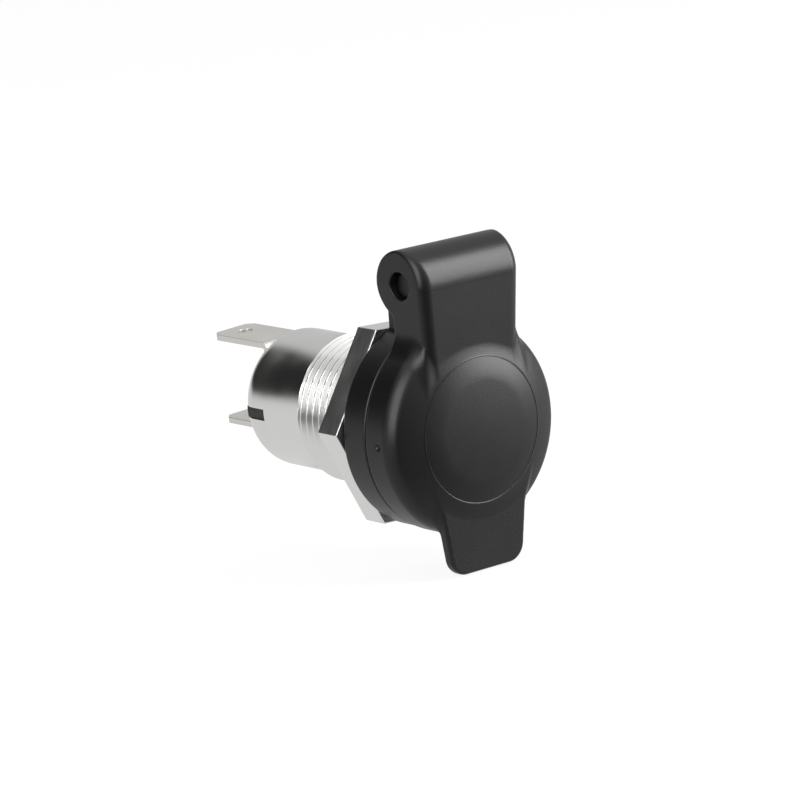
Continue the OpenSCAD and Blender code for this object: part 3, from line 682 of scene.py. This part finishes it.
BEAD_PROUD, BEAD_INNER, BEAD_FLAT, BEAD_OUTER, BEAD_ROOT = 0.06, -0.06, 0.05, 0.3, -0.1
BEAD_STEPS, BEAD_PASSES = 360, 20


def witness_ring():
    """A low bead round the dome, with a steep inner side and a gentle outer one. Its profile is
    given along the face and square to it, at the tilt that the face has there. The face's
    height at the bead is found by stepping back along Y by the distance that is left."""
    foot = FRONT_Y
    for _ in range(BEAD_PASSES):
        foot += float(face_field(DISC_R, foot))
    reach = 0.05
    rise = face_field(DISC_R + reach, foot) - face_field(DISC_R - reach, foot)
    tilt = math.asin(float(rise) / (2 * reach))
    along, out = np.array([
        (BEAD_INNER, BEAD_ROOT), (BEAD_INNER, 0), (0, BEAD_PROUD),
        (BEAD_FLAT, BEAD_PROUD), (BEAD_OUTER, 0), (BEAD_OUTER, BEAD_ROOT)]).T
    radius = DISC_R + along * math.cos(tilt) + out * math.sin(tilt)
    height = foot + along * math.sin(tilt) - out * math.cos(tilt)
    angle = np.linspace(0, 2 * math.pi, BEAD_STEPS, endpoint=False)[:, None]
    points = revolved(radius[None, :], height[None, :], angle)
    return points.reshape(-1, 3), grid_faces(BEAD_STEPS, len(along))


witness_points, witness_faces = witness_ring()
witness = mesh_object("witness_line", witness_points, witness_faces)
dress(witness, PLASTIC, "black_plastic", "lid")


# A soft black rubber ring is pressed into the round holder inside the lid. With the lid
# shut it closes on the lip of the body and keeps dust and water out of the bore.
RUBBER = surface_finish("seal_rubber", (0.018, 0.018, 0.018), 0, 0.75, (0.3, 0.3, 0.3), 0.01)
dress(eased_copy("lid_seal", 0.2), RUBBER, "seal_rubber", "lid", "lid_seal")


# The studio: a white table under the part, a large soft lamp at the front right for the
# hinge barrel and the dome, and one at the left for the streak along the lid's shoulder.
# The part stands just above the table, whose glow is shaded in front of it and to the left.
FLOOR_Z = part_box("lid")[0].z - 0.0002
FLOOR_HALF = 3
TABLE_SEEN, TABLE_MIRRORED, TABLE_SHADE = 0.9, 0.78, 0.08
SHADE_NEAR_Y, SHADE_FAR_Y, SHADE_RIGHT_X, SHADE_LEFT_X = 0.0, -0.05, 0.07, -0.03
floor_mesh = bpy.data.meshes.new("floor")
floor_mesh.from_pydata(
    [(-FLOOR_HALF, -FLOOR_HALF, FLOOR_Z), (FLOOR_HALF, -FLOOR_HALF, FLOOR_Z),
     (FLOOR_HALF, FLOOR_HALF, FLOOR_Z), (-FLOOR_HALF, FLOOR_HALF, FLOOR_Z)], [], [(0, 1, 2, 3)])
floor = bpy.data.objects.new("floor", floor_mesh)
bpy.context.scene.collection.objects.link(floor)


def wired(tree, kind, *inputs, **values):
    """New node of a kind, with its first sockets linked to outputs or set to numbers, and its
    properties set; returns its first output."""
    node = tree.nodes.new("ShaderNode" + kind)
    for name, value in values.items():
        setattr(node, name, value)
    for socket, value in zip(node.inputs, inputs):
        if isinstance(value, bpy.types.NodeSocket):
            tree.links.new(value, socket)
        elif value is not None:
            socket.default_value = value
    return node.outputs[0]


def climb(tree, value, start, end):
    """Smooth climb from 0 at start to 1 at end."""
    return wired(tree, "MapRange", value, start, end, 0.0, 1.0,
                 interpolation_type="SMOOTHSTEP")


def ray_kinds(tree):
    """Whether a ray comes from the camera, and whether it is a mirrored or transmitted one."""
    rays = tree.nodes.new("ShaderNodeLightPath").outputs
    bounced = wired(tree, "Math", rays["Is Glossy Ray"], rays["Is Transmission Ray"],
                    operation="MAXIMUM")
    return rays["Is Camera Ray"], bounced


table = bpy.data.materials.new("white_table")
table.use_nodes = True
tree = table.node_tree
matt_white = tree.nodes["Principled BSDF"]
matt_white.inputs["Base Color"].default_value = (0.9, 0.9, 0.9, 1)
matt_white.inputs["Roughness"].default_value = 0.9
on_table = tree.nodes.new("ShaderNodeSeparateXYZ")
tree.links.new(tree.nodes.new("ShaderNodeTexCoord").outputs["Object"], on_table.inputs[0])
in_front = climb(tree, on_table.outputs["Y"], SHADE_NEAR_Y, SHADE_FAR_Y)
to_left = climb(tree, on_table.outputs["X"], SHADE_RIGHT_X, SHADE_LEFT_X)
in_shade = wired(tree, "Math", in_front, to_left, operation="MULTIPLY")
table_glow = wired(tree, "MapRange", in_shade, 0.0, 1.0, TABLE_MIRRORED, TABLE_SHADE)
seen, mirrored = ray_kinds(tree)
white = wired(tree, "Emission", (1, 1, 1, 1), 1.0)
reflected = wired(tree, "Emission", (1, 1, 1, 1), table_glow)
part = wired(tree, "Math", seen, TABLE_SEEN, operation="MULTIPLY")
shaded = wired(tree, "MixShader", part, matt_white.outputs[0], white)
shadowless = wired(tree, "MixShader", mirrored, shaded, reflected)
tree.links.new(shadowless, tree.nodes["Material Output"].inputs["Surface"])
floor_mesh.materials.append(table)

# The sky is an even pale grey. The bright metal mirrors a dark screen at the left behind the
# part, and the black plastic a dim band low at the front and a bright patch overhead. Each
# pair of numbers is where such a zone starts and where it is full, along one axis.
SKY_LIGHT, SKY_TOP, SKY_FRONT, SKY_DARK = 0.62, 1.3, 0.12, 0.012
SCREEN_LEFT, SCREEN_BEHIND = (0.22, -0.02), (0.2, 0.5)
SCREEN_BOTTOM, SCREEN_TOP = (0.03, 0.13), (0.8, 0.6)
BAND_FRONT, BAND_LEFT, BAND_TOP = (-0.2, -0.5), (0.8, -0.2), (0.1, 0.4)
OVERHEAD = (0.72, 0.9)
world = bpy.data.worlds.new("studio")
world.use_nodes = True
bpy.context.scene.world = world
sky = world.node_tree
towards = sky.nodes.new("ShaderNodeSeparateXYZ")
sky.links.new(sky.nodes.new("ShaderNodeTexCoord").outputs["Generated"], towards.inputs[0])
screen = climb(sky, towards.outputs["X"], *SCREEN_LEFT)
for side, zone in (("Z", SCREEN_BOTTOM), ("Z", SCREEN_TOP), ("Y", SCREEN_BEHIND)):
    screen = wired(sky, "Math", screen, climb(sky, towards.outputs[side], *zone),
                   operation="MULTIPLY")
band = wired(sky, "Math", climb(sky, towards.outputs["Y"], *BAND_FRONT),
             climb(sky, towards.outputs["X"], *BAND_LEFT), operation="MULTIPLY")
overhead = climb(sky, towards.outputs["Z"], *OVERHEAD)
band_level = wired(sky, "MapRange", towards.outputs["Z"], *BAND_TOP, SKY_FRONT, SKY_LIGHT,
                   interpolation_type="SMOOTHSTEP")
level = wired(sky, "MapRange", band, 0.0, 1.0, SKY_LIGHT, band_level)
level = wired(sky, "MapRange", screen, 0.0, 1.0, level, SKY_DARK)
level = wired(sky, "MapRange", overhead, 0.0, 1.0, level, SKY_TOP)
seen, mirrored = ray_kinds(sky)
surround = wired(sky, "Background", level, 1.0)
plain = wired(sky, "Background", (1, 1, 1, 1), 1.0)
sky.links.new(wired(sky, "MixShader", seen, surround, plain),
              sky.nodes["World Output"].inputs["Surface"])


def lamp(name, azimuth, elevation, distance, width, height, radiance):
    """Area lamp that faces the part from a direction in degrees, azimuth from the front to
    the right. Its power is its radiance times its area times pi."""
    light = bpy.data.lights.new(name, "AREA")
    light.shape, light.size, light.size_y = "RECTANGLE", width * MM, height * MM
    light.energy = radiance * math.pi * width * height * MM * MM
    turn, rise = math.radians(azimuth), math.radians(elevation)
    place = Vector((math.sin(turn) * math.cos(rise), -math.cos(turn) * math.cos(rise),
                    math.sin(rise)))
    holder = bpy.data.objects.new(name, light)
    holder.location = place * distance * MM
    holder.rotation_euler = place.to_track_quat("Z", "Y").to_euler()
    bpy.context.scene.collection.objects.link(holder)


lamp("front_right_lamp", 50, 24, 600, 340, 560, 9.5)
lamp("left_strip", -68, 25, 600, 400, 560, 4.5)

bpy.context.scene.view_settings.view_transform = "Standard"
